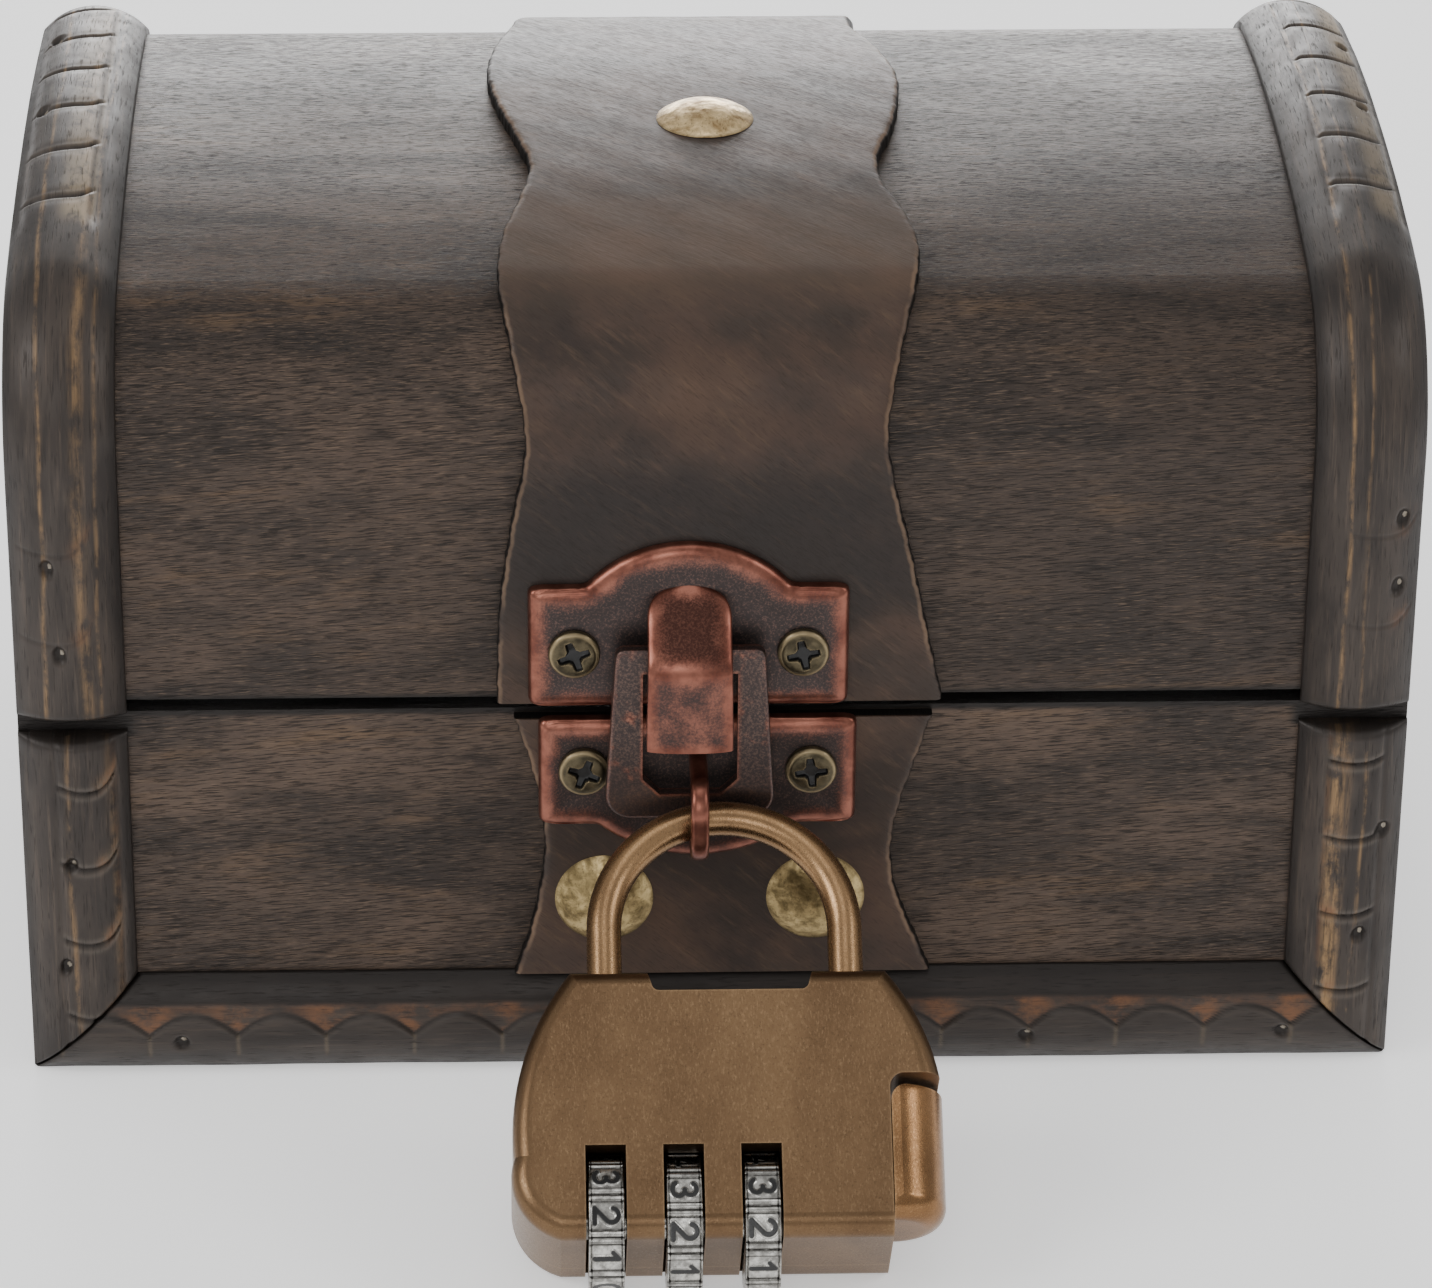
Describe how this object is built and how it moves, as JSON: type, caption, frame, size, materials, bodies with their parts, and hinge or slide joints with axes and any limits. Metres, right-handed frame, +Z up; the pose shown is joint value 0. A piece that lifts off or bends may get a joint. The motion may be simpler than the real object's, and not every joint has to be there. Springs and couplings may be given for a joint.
{
  "type": "treasure chest box",
  "caption": "Small dark-stained wooden chest with a loaf-shaped hinged lid, half-round mouldings, waisted straps, a copper latch and a dial padlock through its ring.",
  "frame": {"origin": "middle of the chest's underside, on the surface that it stands on", "axes": "+Z up, +X along the chest's width, front with latch and padlock towards -Y"},
  "size_m": [0.13, 0.129, 0.0824],
  "materials": {
    "panel_wood": "dark stain, satin",
    "moulding_wood": "dark stain, worn high spots",
    "strap_wood": "dark brown stain, scuffed",
    "aged_brass": "aged, mottled",
    "red_copper": "antique copper plate, dark middle, worn rims",
    "dull_brass": "dull, oxidised",
    "hinge_metal": "antique copper plate",
    "lock_bronze": "antique bronze plate, brushed",
    "lock_copper": "antique copper bronze, polished by use",
    "dial_nickel": "nickel plate, black filled digits"
  },
  "bodies": {
    "base": {"base_front_panel": "panel_wood", "base_back_panel": "panel_wood", "base_left_end": "panel_wood", "base_right_end": "panel_wood", "base_bottom_panel": "panel_wood", "base_front_left_post": "moulding_wood", "base_front_right_post": "moulding_wood", "base_front_rail": "moulding_wood", "base_back_left_post": "moulding_wood", "base_back_right_post": "moulding_wood", "base_back_rail": "moulding_wood", "base_strap": "strap_wood", "base_strap_rivets": "aged_brass", "latch_lower_plate": "red_copper", "latch_lower_screws": "dull_brass", "hinge_base_screws": "dull_brass", "hinge_left_base_leaf": "hinge_metal", "hinge_left_pin": "hinge_metal", "hinge_right_base_leaf": "hinge_metal", "hinge_right_pin": "hinge_metal"},
    "lid": {"lid_curved_panel": "panel_wood", "lid_left_end": "panel_wood", "lid_right_end": "panel_wood", "lid_left_hoop": "moulding_wood", "lid_right_hoop": "moulding_wood", "lid_strap": "strap_wood", "lid_strap_rivet": "aged_brass", "latch_upper_plate": "red_copper", "latch_upper_screws": "dull_brass", "hinge_left_lid_leaf": "hinge_metal", "hinge_right_lid_leaf": "hinge_metal", "hinge_lid_screws": "dull_brass"},
    "latch_loop": {"latch_loop": "red_copper"},
    "padlock_shackle": {"padlock_shackle": "lock_bronze"},
    "padlock_body": {"padlock_front_case": "lock_bronze", "padlock_back_case": "lock_bronze", "padlock_spindle": "dial_nickel"},
    "padlock_slider": {"padlock_slider": "lock_copper"},
    "padlock_left_dial": {"padlock_left_dial": "dial_nickel"},
    "padlock_middle_dial": {"padlock_middle_dial": "dial_nickel"},
    "padlock_right_dial": {"padlock_right_dial": "dial_nickel"}
  },
  "joints": [
    {"name": "lid_hinge", "type": "hinge", "parent": "base", "child": "lid", "pos_m": [0, 0.0414, 0.0393], "axis": [-1, 0, 0], "range_deg": [0, 95]},
    {"name": "latch_loop_swing", "type": "hinge", "parent": "base", "child": "latch_loop", "pos_m": [-0.0025, -0.0448, 0.0317], "axis": [1, 0, 0], "range_deg": [0, 50]},
    {"name": "padlock_swing", "type": "hinge", "parent": "base", "child": "padlock_shackle", "pos_m": [0.0004, -0.0472, 0.0308], "axis": [-1, 0, 0], "range_deg": [0, 60]},
    {"name": "padlock_release", "type": "slide", "parent": "padlock_shackle", "child": "padlock_body", "axis": [0, -0.7986, -0.6018], "range_m": [0, 0.004]},
    {"name": "padlock_slider_push", "type": "slide", "parent": "padlock_body", "child": "padlock_slider", "axis": [0, -0.7986, -0.6018], "range_m": [0, 0.002]},
    {"name": "padlock_left_dial_turn", "type": "hinge", "parent": "padlock_body", "child": "padlock_left_dial", "pos_m": [-0.01095, -0.07951, 0.00721], "axis": [1, 0, 0], "continuous": true},
    {"name": "padlock_middle_dial_turn", "type": "hinge", "parent": "padlock_body", "child": "padlock_middle_dial", "pos_m": [-0.00395, -0.07951, 0.00721], "axis": [1, 0, 0], "continuous": true},
    {"name": "padlock_right_dial_turn", "type": "hinge", "parent": "padlock_body", "child": "padlock_right_dial", "pos_m": [0.00305, -0.07951, 0.00721], "axis": [1, 0, 0], "continuous": true}
  ],
  "couplings": [
    {"joint": "latch_loop_swing", "follows": "lid_hinge", "ratio": 0.52632}
  ]
}
